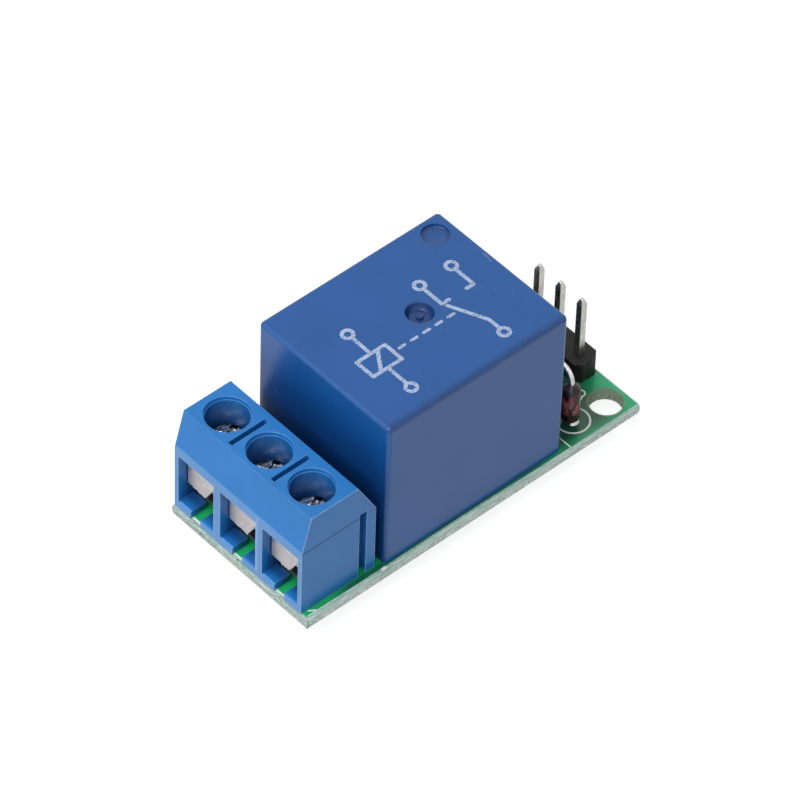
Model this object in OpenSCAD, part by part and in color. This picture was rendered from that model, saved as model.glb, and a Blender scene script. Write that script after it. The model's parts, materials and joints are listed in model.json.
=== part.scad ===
// Single relay module: a small circuit board that carries a three-pole screw terminal block,
// a sealed changeover relay, its driver parts and a three-pin header.
// Origin: centre of the board in plan, on the plane that the soldered tails stand on.
// +X runs from the terminal block to the header, +Z is up.

/* [Board] */
// Width of the board over its snapped edges
board_w = 16.5; // [16.4:0.1:20]
// Thickness of the board
board_t = 1.2; // [0.8:0.1:2]
// How far a snapped edge stands out beyond the top and bottom faces
edge_out = 0.17; // [0.05:0.01:0.4]
// Thickness of the snapped web between the two score lines
edge_web = 0.4; // [0.2:0.05:0.6]
// Diameter of the mounting hole
mount_hole_d = 2.9; // [2.2:0.1:3.2]
// Land left between the mounting hole and the header end of the board
mount_land_x = 0.62; // [0.4:0.02:1.5]
// Land left between the mounting hole and the near long edge of the board
mount_land_y = 0.52; // [0.4:0.02:1.5]
// Length of every tail below the board
tail_h = 1.8; // [1.2:0.1:3]
// Height of a solder cone below the board
solder_h = 0.9; // [0.5:0.1:1.1]

/* [Terminal block] */
// Distance between neighbouring poles
pitch = 5.08; // [5:0.04:5.4]
// Depth of the block from its wire entries to its back
block_l = 7.8; // [7.6:0.1:9]
// Height of the flat top above the board
block_h = 10.5; // [10:0.1:12]
// Height of the upright front, up to the front crease
front_h = 6.9; // [6.7:0.1:7.2]
// Depth taken by the front slope
front_run = 0.95; // [0.5:0.05:1.1]
// Height of the upright back
back_h = 7; // [6:0.1:8]
// Depth taken by the back slope
back_run = 1.95; // [1:0.05:2.1]
// How far the block's front stands back from the end of the board
block_inset = 0.1; // [0:0.05:0.5]
// Sideways shift of the block from the middle of the board
block_shift = 0.3; // [0:0.05:0.5]
// Width of a wire entry
entry_w = 4.3; // [4.2:0.05:4.5]
// Height of the top of a wire entry above the board
entry_top = 6.15; // [6:0.05:6.3]
// Thickness of the floor of a wire entry
floor_t = 0.75; // [0.6:0.05:0.8]
// Width of the slot in that floor
floor_slot_w = 1.2; // [0.8:0.1:1.4]
// Diameter of a screw well
well_d = 3.7; // [3.6:0.05:4]
// Distance from the block's front to the screw axes
screw_x = 3.3; // [3.2:0.05:3.5]
// Width of the thin slots between the wells
top_slot_w = 0.45; // [0.3:0.05:0.6]
// Width of the dovetail at its neck, on the ends of the block
dovetail_w = 0.65; // [0.4:0.05:0.8]
// How far the dovetail rib stands out
dovetail_d = 0.28; // [0.2:0.02:0.28]
// Depth of the dovetail groove
groove_d = 0.75; // [0.4:0.05:0.9]

/* [Clamp] */
// Diameter of a clamp screw's head
head_d = 3.3; // [3:0.05:3.4]
// Height of a clamp screw's head
head_h = 1.3; // [1:0.05:1.4]
// Depth of the screw head below the block's top
head_depth = 2.65; // [2.6:0.05:3.1]
// Diameter of a clamp screw's thread
screw_d = 2.4; // [2:0.1:2.6]
// Running clearance round the screw in its nut plate
screw_fit = 0.05; // [0.03:0.01:0.1]
// Thickness of the wire leaf
leaf_t = 0.4; // [0.3:0.05:0.5]
// Height of the wire leaf's lower edge above the board
leaf_bottom = 2.35; // [2.2:0.05:2.5]
// How far the leaf can still move down onto a wire
leaf_travel = 1; // [0.8:0.1:1]
// Thickness of the contact frame's strip
frame_t = 0.4; // [0.35:0.05:0.5]

/* [Relay] */
// Length of the relay case
case_l = 19.1; // [19:0.1:20]
// Width of the relay case
case_w = 15.5; // [15.4:0.1:16]
// Height of the relay case
case_h = 15.6; // [15.5:0.1:17]
// Wall thickness of the relay case
case_wall = 0.8; // [0.6:0.05:0.9]
// Thickness of the case's roof
case_roof = 1; // [0.7:0.1:1]
// Radius of the case's upright corners
case_r = 0.4; // [0.2:0.1:1]
// Bevel round the case's roof
case_bevel = 0.25; // [0.1:0.05:0.6]
// Gap between the terminal block and the relay
relay_gap = 0.75; // [0.3:0.05:0.8]
// Distance between the contact pins and the common pin
pin_span = 14.2; // [14:0.1:14.4]
// Distance between the common pin and the coil pins
coil_pin_step = 2; // [1.9:0.1:2.2]
// Distance between the two rows of outer pins
row_w = 12; // [11.8:0.1:12]
// Air gap left under the armature at the outer edge of the pole face
pole_gap = 0.35; // [0.33:0.01:0.4]

/* [Header] */
// Distance between neighbouring header pins
header_pitch = 2.54; // [2.5:0.02:2.6]
// Side of a square header pin
header_pin = 0.64; // [0.5:0.02:0.7]
// Height of a header pin above its body
header_up = 6.3; // [5:0.1:12]
// Height of the header's body
header_body_h = 2.1; // [2:0.02:3]
// Gap between the transistor and the header's body
header_gap = 0.66; // [0.3:0.02:3]
// Distance from the header's row to the end of the board
header_inset = 1.37; // [1.3:0.01:2]
// Sideways shift of the header from the middle of the board
header_shift = 0.4; // [0:0.1:1.5]

/* [Diode, resistor and transistor] */
// Distance from the relay's end to the row of standing parts
stand_room = 2.65; // [2.6:0.05:4]
// Diameter of the glass diode
diode_d = 1.6; // [1.5:0.1:2]
// Length of the glass diode
diode_l = 3.8; // [3:0.1:4.2]
// Diameter of the resistor's ends
resistor_d = 1.8; // [1.6:0.1:2]
// Length of the resistor's body
resistor_l = 3.3; // [3:0.1:4]
// Diameter of their leads
lead_d = 0.5; // [0.4:0.05:0.6]
// Distance between the two lead holes of a part that stands on end
stand_pitch = 2.54; // [2.4:0.02:2.6]
// Height of a standing part above the board
stand_gap = 0.4; // [0.2:0.05:1]
// Width of the transistor's body
to92_w = 4.6; // [4.4:0.1:4.8]
// Height of the transistor's body
to92_h = 4.6; // [4.3:0.1:4.8]
// Height of the transistor's body above the board
to92_gap = 2.4; // [1:0.1:3]

/* [Hidden] */
eps = 0.01;
$fn = 48;
pin_clear = 0.15;      // gap between a pin and its hole in the board
seat = 0.02;           // gap between metal parts that only touch
SIDES = [-1, 1];
POLES = [-1, 0, 1];

// The board is as long as the row of parts on it
to92_shift = 0.2;      // transistor's axis beyond the row of the diode and the resistor
header_w = header_pitch;
board_l = block_inset + block_l + relay_gap + case_l + stand_room + to92_shift + to92_w / 2
    + header_gap + header_w / 2 + header_inset;
board_top = tail_h + board_t;
tail_z = -board_top;   // lower end of a tail, measured from the board's top

// Terminal block, measured from its own front face, its own middle and the board's top
block_x = -board_l / 2 + block_inset;
block_y = block_shift;
block_w = 3 * pitch + 0.08;
mouth_d = 0.8;                          // depth of the lip over a wire entry
cave_back = 5.6;                        // back wall of a pole's chamber
cave_top = block_h - head_depth - 0.45; // ceiling of a pole's chamber
slot_back = 5.15;
slot_shift = 0.05;                      // how far the floor slot stands off the pole's middle
slot_front = 1.35;
slot_depth = 2.5;
head_top = block_h - head_depth;
head_z = head_top - head_h;
leaf_x = mouth_d + 0.15;
leaf_w = entry_w - 0.2;
leaf_top = entry_top + 0.05;
foot_end = screw_x + screw_d / 2;
nut_land = 0.3;                         // strip left in front of the nut thread
frame_x = screw_x - screw_d / 2 - screw_fit - nut_land;
floor_r = 0.25;                         // radius of the floor's front edge
floor_back = frame_x - 0.05;            // where the floor stops and the chamber is open below
frame_back = cave_back - 0.2;
frame_w = entry_w - 0.5;
frame_base = leaf_bottom - leaf_travel - 0.1 - frame_t;
frame_top = head_z - leaf_travel - 0.2;
terminal_pin_x = 4.1;
terminal_pin = [0.8, 1];
dovetail_x = block_l - 1.35;
dovetail_flare = 0.12;
well_break = 0.12;     // broken edge round a well
well_step = [0.16, 0.35]; // how much wider the mouth of a well is, and how deep

// Relay, measured from the middle of its case and the board's top
relay_x = block_x + block_l + relay_gap + case_l / 2;
com_x = pin_span / 2;
coil_x = com_x - coil_pin_step;
contact_x = -pin_span / 2;
pin_y = row_w / 2;
strip_t = 0.5;
strip_pin = 1;
coil_pin_w = 0.6;
gate_sink = 0.45;
gate_at = [0.93, 0.52];
gate_d = 2.3;
gate_nib = 0.6;
mark_inset = [1.8, 1.5];
mark_d = 2.4;
mark_sink = 0.1;
inner_l = case_l - 2 * case_wall;
inner_w = case_w - 2 * case_wall;
base_fit = 0.05;
base_z = 0.4;
base_top = 2.2;
yoke_t = 1;
yoke_x = 5.2;
yoke_w = 8;
coil_c = -0.2;
flange_t = 0.8;
flange_w = 9.2;
coil_d = 8.8;
core_d = 3.2;
tube_d = core_d + 1.4;
pole_d = 5.8;
pole_t = 0.8;
bobbin_z = base_top + yoke_t;
bobbin_h = 7;
pole_top = bobbin_z + bobbin_h + pole_t;
yoke_top = pole_top + pole_gap - seat - 0.03;
armature_z = pole_top + pole_gap;
armature_t = 1;
armature_w = 8.4;
armature_front = -4.2;
armature_back = yoke_x + yoke_t;
blade_t = 0.2;
blade_w = 4.4;
touch_x = contact_x + 0.7; // line of the contacts
touch_d = 2.2;
touch_t = 0.5;
rivet_d = 1.2;
touch_gap = 0.47;
blade_z = armature_z + armature_t;
strip_w = 2;
spring_leg = 2.6;      // how far the spring reaches down behind the yoke
arm_past = 1.2;        // how far a fixed strip's arm reaches past the middle
common_w = 3;
common_up = 4.5;

// Header
header_x = board_l / 2 - header_inset;
header_corner = 0.55;
pin_point = 0.5;       // length of a pin's pointed end
pin_tip = 0.3;         // width left at the point

// Standing parts
mount_x = board_l / 2 - mount_land_x - mount_hole_d / 2;
mount_y = -board_w / 2 + mount_land_y + mount_hole_d / 2;
diode_x = relay_x + case_l / 2 + stand_room;
diode_y = -5.91;
resistor_x = diode_x;
resistor_y = -0.9;
to92_x = diode_x + to92_shift;
to92_y = 5.1;
to92_pitch = 1.27;
to92_flat = 1.2;
to92_leg = 0.4;
lead_neck = 0.35;      // straight lead above a standing body, before its bend
end_chamfer = 0.25;

// ---- Places ----

module on_board(x, y) {
    translate([x, y, board_top]) children();
}

module on_block() {
    on_board(block_x, block_y) children();
}

module on_pole(i) {
    on_board(block_x, block_y + POLES[i] * pitch) children();
}

module on_relay() {
    on_board(relay_x, 0) children();
}

// ---- Tails: place, width along X, width along Y, hole diameter and pad diameter ----

power_pad = 2.4;
block_pad = 2.6;
coil_pad = 2;
header_pad = 1.8;
lead_pad = 1.6;
leg_pad = 1.1;

function round_tail(x, y) = [x, y, lead_d, 0, lead_d + 2 * pin_clear, lead_pad];
function flat_tail(x, y, wx, wy, pad) = [x, y, wx, wy, norm([wx, wy]) + 2 * pin_clear, pad];

RELAY_TAILS = concat(
    [for (s = SIDES) flat_tail(relay_x + contact_x, s * pin_y, strip_pin, strip_t, power_pad)],
    [for (s = SIDES) flat_tail(relay_x + coil_x, s * pin_y, coil_pin_w, coil_pin_w, coil_pad)],
    [flat_tail(relay_x + com_x, 0, strip_t, strip_pin, power_pad)]);

TAILS = concat(RELAY_TAILS,
    [for (i = POLES) flat_tail(block_x + terminal_pin_x, block_y + i * pitch,
        terminal_pin[0], terminal_pin[1], block_pad)],
    [for (i = POLES) flat_tail(header_x, header_shift + i * header_pitch,
        header_pin, header_pin, header_pad)],
    [for (k = [0, 1]) round_tail(diode_x, diode_y + k * stand_pitch)],
    [for (k = [0, 1]) round_tail(resistor_x, resistor_y + k * stand_pitch)],
    [for (i = POLES) flat_tail(to92_x, to92_y + i * to92_pitch, to92_leg, to92_leg, leg_pad)]);

module tail_shape(tail) {
    if (tail[3] == 0) cylinder(d = tail[2], h = 20, center = true);
    else cube([tail[2], tail[3], 20], center = true);
}

// ---- Board ----

// Section across the board: two score lines leave a web that stands out at mid-thickness
module snapped_section(w) {
    face = w / 2 - edge_out;
    polygon([
        [-face, 0], [face, 0],
        [w / 2, (board_t - edge_web) / 2], [w / 2, (board_t + edge_web) / 2],
        [face, board_t], [-face, board_t],
        [-w / 2, (board_t + edge_web) / 2], [-w / 2, (board_t - edge_web) / 2]]);
}

module board() {
    color("seagreen") difference() {
        translate([0, 0, tail_h]) intersection() {
            rotate([90, 0, 0]) linear_extrude(board_w, center = true) snapped_section(board_l);
            rotate([90, 0, 90]) linear_extrude(board_l, center = true) snapped_section(board_w);
        }
        translate([mount_x, mount_y, 0]) cylinder(d = mount_hole_d, h = board_top + 1);
        for (tail = TAILS) translate([tail[0], tail[1], 0]) cylinder(d = tail[4], h = board_top + 1);
    }
}

module solder_joints() {
    color("silver") for (tail = TAILS) translate([tail[0], tail[1], tail_h - solder_h]) difference() {
        cylinder(d1 = tail[4], d2 = tail[5], h = solder_h);
        tail_shape(tail);
    }
}

// ---- Terminal block ----

module block_section() {
    polygon([[0, 0], [block_l, 0], [block_l, back_h], [block_l - back_run, block_h],
        [front_run, block_h], [0, front_h]]);
}

module dovetail(depth, clear) {
    neck = dovetail_w / 2 + clear;
    translate([dovetail_x, 0, -eps]) linear_extrude(back_h + 0.3)
        polygon([[-neck, -eps], [-neck - dovetail_flare, depth],
            [neck + dovetail_flare, depth], [neck, -eps]]);
}

// Everything that one pole takes out of the housing
module pole_space() {
    half = entry_w / 2;
    // wire entry, above a floor with a rounded front edge
    translate([-1, -half, floor_t]) cube([cave_back + 1, entry_w, entry_top - floor_t]);
    difference() {
        translate([-eps, -half, floor_t - floor_r]) cube([floor_r, entry_w, floor_t]);
        translate([floor_r, 0, floor_t - floor_r]) rotate([90, 0, 0])
            cylinder(r = floor_r, h = entry_w + 1, center = true);
    }
    // chamber behind the lip, open below where the contact frame goes in
    translate([mouth_d, -half, floor_t]) cube([cave_back - mouth_d, entry_w, cave_top - floor_t]);
    translate([floor_back, -half, -1]) cube([cave_back - floor_back, entry_w, 2]);
    // slot in the floor
    translate([-1, slot_shift - floor_slot_w / 2, -1]) cube([floor_back + 1.1, floor_slot_w, 2]);
    // screw well with a broken edge
    translate([screw_x, 0, cave_top - eps]) cylinder(d = well_d, h = block_h);
    mouth = well_d + well_step[0];
    translate([screw_x, 0, block_h - well_step[1]]) cylinder(d = mouth, h = block_h);
    translate([screw_x, 0, block_h - well_break / 2])
        cylinder(d1 = mouth, d2 = mouth + 2 * well_break, h = well_break);
}

module terminal_housing() {
    color("royalblue") on_block() {
        difference() {
            rotate([90, 0, 0]) linear_extrude(block_w, center = true) block_section();
            for (i = POLES) translate([0, i * pitch, 0]) pole_space();
            for (s = SIDES) translate([slot_front, s * pitch / 2 - top_slot_w / 2, block_h - slot_depth])
                cube([slot_back - slot_front, top_slot_w, slot_depth + 1]);
            translate([0, -block_w / 2, 0]) dovetail(groove_d, 0.05);
        }
        translate([0, block_w / 2, 0]) dovetail(dovetail_d, 0);
    }
}

// Stamped strip bent to a channel that opens towards the wire, with the nut thread in its top
module frame_section() {
    inner = frame_back - frame_t;
    polygon([[frame_x, frame_base], [frame_back, frame_base], [frame_back, frame_top],
        [frame_x, frame_top], [frame_x, frame_top - frame_t], [inner, frame_top - frame_t],
        [inner, frame_base + frame_t], [frame_x, frame_base + frame_t]]);
}

module contact_frame(i) {
    color("lightgray") on_pole(i) {
        difference() {
            rotate([90, 0, 0]) linear_extrude(frame_w, center = true) frame_section();
            translate([screw_x, 0, frame_top - frame_t - 1])
                cylinder(d = screw_d + 2 * screw_fit, h = frame_t + 2);
        }
        translate([terminal_pin_x - terminal_pin[0] / 2, -terminal_pin[1] / 2, tail_z])
            cube([terminal_pin[0], terminal_pin[1], frame_base + frame_t / 2 - tail_z]);
    }
}

// Bent leaf: an upright apron behind the entry's lip and a foot under the screw
module wire_leaf(i) {
    half = leaf_w / 2;
    slant = 0.15;          // how much higher the apron's outer corner is
    low_y = -0.08;         // lowest corner of the apron
    cut_y = -1.1;
    cut_z = leaf_bottom + 1.75;
    foot_w = 1.2;
    color("gainsboro") on_pole(i) {
        translate([leaf_x, 0, 0]) rotate([90, 0, 90]) linear_extrude(leaf_t)
            polygon([[half, leaf_bottom + slant], [low_y, leaf_bottom], [cut_y, cut_z], [-half, cut_z],
                [-half, leaf_top], [half, leaf_top]]);
        translate([0, 0, leaf_bottom]) linear_extrude(leaf_t)
            polygon([[leaf_x + leaf_t / 2, half - 0.1], [leaf_x + leaf_t / 2, 0.1], [leaf_x + leaf_t + 0.3, 0.1],
                [leaf_x + leaf_t + 0.9, -foot_w], [foot_end, -foot_w], [foot_end, half - 0.1]]);
    }
}

module clamp_screw(i) {
    tip = leaf_bottom + leaf_t + seat;
    slot_w = 0.6;
    slot_h = 0.65;
    color("silver") on_pole(i) translate([screw_x, 0, 0]) difference() {
        union() {
            translate([0, 0, head_z]) cylinder(d = head_d, h = head_h - 0.25);
            translate([0, 0, head_top - 0.25]) cylinder(d1 = head_d, d2 = head_d - 0.5, h = 0.25);
            translate([0, 0, tip + 0.3]) cylinder(d = screw_d, h = head_z - tip);
            translate([0, 0, tip]) cylinder(d1 = screw_d - 0.6, d2 = screw_d, h = 0.3);
        }
        translate([0, 0, head_top]) rotate(25) cube([head_d + 1, slot_w, 2 * slot_h], center = true);
        translate([0, 0, head_top]) rotate(25) cube([slot_w, head_d * 0.62, 2 * slot_h], center = true);
    }
}

// ---- Relay ----

module rounded_plan(l, w, r) {
    square([l - 2 * r, w], center = true);
    square([l, w - 2 * r], center = true);
    for (sx = SIDES, sy = SIDES) translate([sx * (l / 2 - r), sy * (w / 2 - r)]) circle(r = r);
}

// Side view of the case along one axis, with its bevelled roof
module case_section(w) {
    polygon([[-w / 2, 0], [w / 2, 0], [w / 2, case_h - case_bevel], [w / 2 - case_bevel, case_h],
        [-w / 2 + case_bevel, case_h], [-w / 2, case_h - case_bevel]]);
}

module relay_case() {
    color("mediumblue") on_relay() difference() {
        intersection() {
            linear_extrude(case_h) rounded_plan(case_l, case_w, case_r);
            rotate([90, 0, 0]) linear_extrude(case_w + 1, center = true) case_section(case_l);
            rotate([90, 0, 90]) linear_extrude(case_l + 1, center = true) case_section(case_w);
        }
        translate([-inner_l / 2, -inner_w / 2, -1]) cube([inner_l, inner_w, case_h - case_roof + 1]);
        // shallow ejector mark near a corner
        translate([case_l / 2 - mark_inset[0], case_w / 2 - mark_inset[1], case_h - mark_sink])
            cylinder(d = mark_d, h = 1);
        // moulding gate: a round sink with a nib left in it
        translate([gate_at[0], gate_at[1], case_h - gate_sink]) difference() {
            cylinder(d = gate_d, h = 1);
            cylinder(d = gate_nib, h = gate_sink / 2);
        }
    }
}

// Base plate, slotted for the five pins
module relay_base() {
    color("royalblue") on_relay() difference() {
        translate([0, 0, base_z]) linear_extrude(base_top - base_z)
            square([inner_l - 2 * base_fit, inner_w - 2 * base_fit], center = true);
        for (tail = RELAY_TAILS) translate([tail[0] - relay_x, tail[1], 0])
            cube([tail[2] + 2 * seat, tail[3] + 2 * seat, 10], center = true);
    }
}

// Arm of the lower flange that reaches round the yoke to a coil pin
module bobbin_wing() {
    near_x = coil_c + flange_w / 2 - 1;
    far_x = coil_x + coil_pin_w / 2 + 0.5;
    edge_y = pin_y + coil_pin_w / 2 + 0.4;
    clear_y = yoke_w / 2 + 0.3;
    linear_extrude(flange_t) polygon([[near_x, flange_w / 2 - 0.5], [yoke_x - 0.2, flange_w / 2 - 0.5],
        [yoke_x - 0.2, clear_y], [far_x, clear_y], [far_x, edge_y], [near_x, edge_y]]);
}

module coil_bobbin() {
    color("ivory") on_relay() translate([0, 0, bobbin_z]) difference() {
        union() {
            translate([coil_c, 0, 0]) {
                cylinder(d = tube_d, h = bobbin_h);
                for (z = [0, bobbin_h - flange_t]) translate([-flange_w / 2, -flange_w / 2, z])
                    cube([flange_w, flange_w, flange_t]);
            }
            bobbin_wing();
            mirror([0, 1, 0]) bobbin_wing();
        }
        translate([coil_c, 0, -1]) cylinder(d = core_d + 2 * seat, h = bobbin_h + 2);
        for (s = SIDES) translate([coil_x, s * pin_y, 0])
            cube([coil_pin_w, coil_pin_w, 4], center = true);
    }
}

module coil_winding() {
    color("chocolate") on_relay() translate([coil_c, 0, bobbin_z + flange_t]) difference() {
        cylinder(d = coil_d, h = bobbin_h - 2 * flange_t);
        translate([0, 0, -1]) cylinder(d = tube_d + 2 * seat, h = bobbin_h);
    }
}

module coil_pin(s) {
    top = bobbin_z + flange_t + 1.5;
    color("silver") on_relay() translate([coil_x - coil_pin_w / 2, s * pin_y - coil_pin_w / 2, tail_z])
        cube([coil_pin_w, coil_pin_w, top - tail_z]);
}

module iron_core() {
    color("slategray") on_relay() translate([coil_c, 0, 0]) {
        translate([0, 0, base_top]) cylinder(d = core_d, h = pole_top - pole_t - base_top + eps);
        translate([0, 0, pole_top - pole_t]) cylinder(d = pole_d, h = pole_t);
    }
}

module iron_yoke() {
    foot_x = coil_c - core_d / 2 - 1;
    color("slategray") on_relay() difference() {
        union() {
            translate([foot_x, -yoke_w / 2, base_top]) cube([yoke_x + yoke_t - foot_x, yoke_w, yoke_t]);
            translate([yoke_x, -yoke_w / 2, base_top]) cube([yoke_t, yoke_w, yoke_top - base_top]);
        }
        translate([coil_c, 0, 0]) cylinder(d = core_d + 2 * seat, h = bobbin_z + 1);
    }
}

module armature() {
    color("lightslategray") on_relay() translate([armature_front, -armature_w / 2, armature_z])
        cube([armature_back - armature_front, armature_w, armature_t]);
}

// Spring blade: flat over the armature, bent down behind the yoke
module contact_spring() {
    leg_x = armature_back + 0.05;
    front = touch_x - touch_d / 2 - 0.1;
    leg_bottom = yoke_top - spring_leg;
    color("goldenrod") on_relay() difference() {
        union() {
            translate([front, -blade_w / 2, blade_z]) cube([leg_x + blade_t - front, blade_w, blade_t]);
            translate([leg_x, -blade_w / 2, leg_bottom]) cube([blade_t, blade_w, blade_z + blade_t - leg_bottom]);
        }
        translate([touch_x, 0, blade_z - 1]) cylinder(d = rivet_d + 2 * seat, h = 2);
    }
}

// Rivet with a contact face above and below the blade
module moving_contact() {
    color("silver") on_relay() translate([touch_x, 0, 0]) {
        translate([0, 0, blade_z - touch_t]) cylinder(d = touch_d, h = touch_t);
        translate([0, 0, blade_z - eps]) cylinder(d = rivet_d, h = blade_t + 2 * eps);
        translate([0, 0, blade_z + blade_t]) cylinder(d = touch_d, h = touch_t - 0.1);
    }
}

// Fixed strip: a pin below the board, an upright beside the coil and an arm over the middle
module fixed_strip(s, arm_z) {
    x0 = touch_x - strip_w / 2;
    on_relay() {
        translate([contact_x - strip_pin / 2, s * pin_y - strip_t / 2, tail_z])
            cube([strip_pin, strip_t, base_top + 1 - tail_z]);
        translate([x0, s * pin_y - strip_t / 2, base_top]) cube([strip_w, strip_t, arm_z + strip_t - base_top]);
        translate([x0, min(-s * arm_past, s * (pin_y + strip_t / 2)), arm_z])
            cube([strip_w, pin_y + strip_t / 2 + arm_past, strip_t]);
    }
}

module common_strip() {
    back = yoke_x + yoke_t;
    color("goldenrod") on_relay() {
        translate([back, -common_w / 2, bobbin_z]) cube([strip_t, common_w, common_up]);
        translate([back, -strip_pin / 2, bobbin_z]) cube([com_x + strip_t / 2 - back, strip_pin, strip_t]);
        translate([com_x - strip_t / 2, -strip_pin / 2, tail_z])
            cube([strip_t, strip_pin, bobbin_z + strip_t - tail_z]);
    }
}

open_z = blade_z - touch_t - touch_gap;              // upper face of the normally open contact
closed_z = blade_z + blade_t + touch_t - 0.1 + seat; // lower face of the normally closed contact

module open_strip() {
    color("goldenrod") fixed_strip(1, open_z - touch_t - strip_t);
}

module closed_strip() {
    color("goldenrod") fixed_strip(-1, closed_z + touch_t);
}

module fixed_contact(z) {
    color("silver") on_relay() translate([touch_x, 0, z]) cylinder(d = touch_d, h = touch_t);
}

// ---- Header ----

module header_body() {
    corner = header_corner;
    h = header_w / 2;
    color("#222222") for (i = POLES) on_board(header_x, header_shift + i * header_pitch)
        linear_extrude(header_body_h) difference() {
            polygon([[-h, -h + corner], [-h + corner, -h], [h - corner, -h], [h, -h + corner],
                [h, h - corner], [h - corner, h], [-h + corner, h], [-h, h - corner]]);
            square(header_pin, center = true);
        }
}

// Side view of a square pin, pointed at both ends
module pin_section() {
    h = header_pin / 2;
    tip = pin_tip / 2;
    top = header_body_h + header_up;
    polygon([[-tip, tail_z], [tip, tail_z], [h, tail_z + pin_point], [h, top - pin_point],
        [tip, top], [-tip, top], [-h, top - pin_point], [-h, tail_z + pin_point]]);
}

module header_pin(i) {
    color("silver") on_board(header_x, header_shift + POLES[i] * header_pitch) intersection() {
        rotate([90, 0, 0]) linear_extrude(2, center = true) pin_section();
        rotate([90, 0, 90]) linear_extrude(2, center = true) pin_section();
    }
}

// ---- Parts that stand on end ----

// Lead from the lower end of a standing body straight through the board
module low_lead() {
    translate([0, 0, tail_z]) cylinder(d = lead_d, h = stand_gap - tail_z);
}

// Lead from the upper end, bent over and down through the second hole
module high_lead(body_l) {
    bend = stand_pitch / 2;
    top = stand_gap + body_l;
    translate([0, 0, top]) cylinder(d = lead_d, h = lead_neck);
    translate([0, bend, top + lead_neck]) rotate([90, 0, 90])
        rotate_extrude(angle = 180) translate([bend, 0]) circle(d = lead_d);
    translate([0, stand_pitch, tail_z]) cylinder(d = lead_d, h = top + lead_neck - tail_z);
}

module diode_glass() {
    r = diode_d / 2;
    color("firebrick") on_board(diode_x, diode_y) translate([0, 0, stand_gap]) rotate_extrude()
        polygon([[0, 0], [r - end_chamfer, 0], [r, end_chamfer], [r, diode_l - end_chamfer],
            [r - end_chamfer, diode_l], [0, diode_l]]);
}

module resistor_body() {
    r = resistor_d / 2;
    waist = r - 0.15;
    c = end_chamfer;
    cap = 0.75;            // length of the thicker end
    l = resistor_l;
    color("tan") on_board(resistor_x, resistor_y) translate([0, 0, stand_gap]) rotate_extrude()
        polygon([[0, 0], [r - c, 0], [r, c], [r, cap], [waist, cap + 0.3],
            [waist, l - cap - 0.3], [r, l - cap], [r, l - c], [r - c, l], [0, l]]);
}

module transistor_body() {
    color("#262626") on_board(to92_x, to92_y) translate([0, 0, to92_gap]) intersection() {
        cylinder(d = to92_w, h = to92_h);
        translate([-to92_flat, -to92_w / 2, 0]) cube([to92_w, to92_w, to92_h]);
    }
}

module transistor_leg(i) {
    color("silver") on_board(to92_x, to92_y + POLES[i] * to92_pitch) translate([-to92_leg / 2, -to92_leg / 2, tail_z])
        cube([to92_leg, to92_leg, to92_gap - tail_z]);
}

// ---- Assembly ----

board();
solder_joints();
terminal_housing();
contact_frame(0);  // contact_frame_1
contact_frame(1);  // contact_frame_2
contact_frame(2);  // contact_frame_3
wire_leaf(0);  // wire_leaf_1
wire_leaf(1);  // wire_leaf_2
wire_leaf(2);  // wire_leaf_3
clamp_screw(0);  // clamp_screw_1
clamp_screw(1);  // clamp_screw_2
clamp_screw(2);  // clamp_screw_3
relay_case();
relay_base();
coil_bobbin();
coil_winding();
coil_pin(-1);  // coil_pin_1
coil_pin(1);  // coil_pin_2
iron_core();
iron_yoke();
armature();
contact_spring();
moving_contact();
common_strip();
open_strip();
closed_strip();
fixed_contact(open_z - touch_t);  // open_contact
fixed_contact(closed_z);  // closed_contact
header_body();
header_pin(0);  // header_pin_1
header_pin(1);  // header_pin_2
header_pin(2);  // header_pin_3
diode_glass();
on_board(diode_x, diode_y) low_lead();  // diode_lead_low
on_board(diode_x, diode_y) high_lead(diode_l);  // diode_lead_high
resistor_body();
on_board(resistor_x, resistor_y) low_lead();  // resistor_lead_low
on_board(resistor_x, resistor_y) high_lead(resistor_l);  // resistor_lead_high
transistor_body();
transistor_leg(0);  // transistor_leg_1
transistor_leg(1);  // transistor_leg_2
transistor_leg(2);  // transistor_leg_3
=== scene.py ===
import json
import math
import random

import bmesh
import bpy
from mathutils import Matrix, Vector, noise


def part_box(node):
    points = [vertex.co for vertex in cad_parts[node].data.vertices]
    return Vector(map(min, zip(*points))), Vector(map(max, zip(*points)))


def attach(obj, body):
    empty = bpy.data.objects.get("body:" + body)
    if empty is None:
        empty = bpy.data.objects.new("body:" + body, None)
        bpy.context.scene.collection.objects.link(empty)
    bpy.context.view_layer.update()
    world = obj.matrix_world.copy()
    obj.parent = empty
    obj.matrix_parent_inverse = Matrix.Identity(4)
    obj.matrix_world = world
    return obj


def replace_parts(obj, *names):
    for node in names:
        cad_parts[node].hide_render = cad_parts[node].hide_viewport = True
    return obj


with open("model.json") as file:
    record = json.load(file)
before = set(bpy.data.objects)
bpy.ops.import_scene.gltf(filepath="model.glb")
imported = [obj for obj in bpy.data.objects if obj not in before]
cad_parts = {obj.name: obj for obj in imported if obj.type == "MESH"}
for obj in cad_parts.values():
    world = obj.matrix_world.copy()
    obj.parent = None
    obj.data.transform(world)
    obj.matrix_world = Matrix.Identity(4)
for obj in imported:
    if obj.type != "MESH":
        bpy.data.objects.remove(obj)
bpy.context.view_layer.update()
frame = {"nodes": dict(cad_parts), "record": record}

# ---- Circuit board ----
# Glass fibre laminate under green solder mask, 1.2 mm thick, with one bare hole for a screw.
# It is scored on both faces and snapped out of its panel, so its edges are bare, torn fibre.

MM = 0.001
WELD = 0.0005


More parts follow.
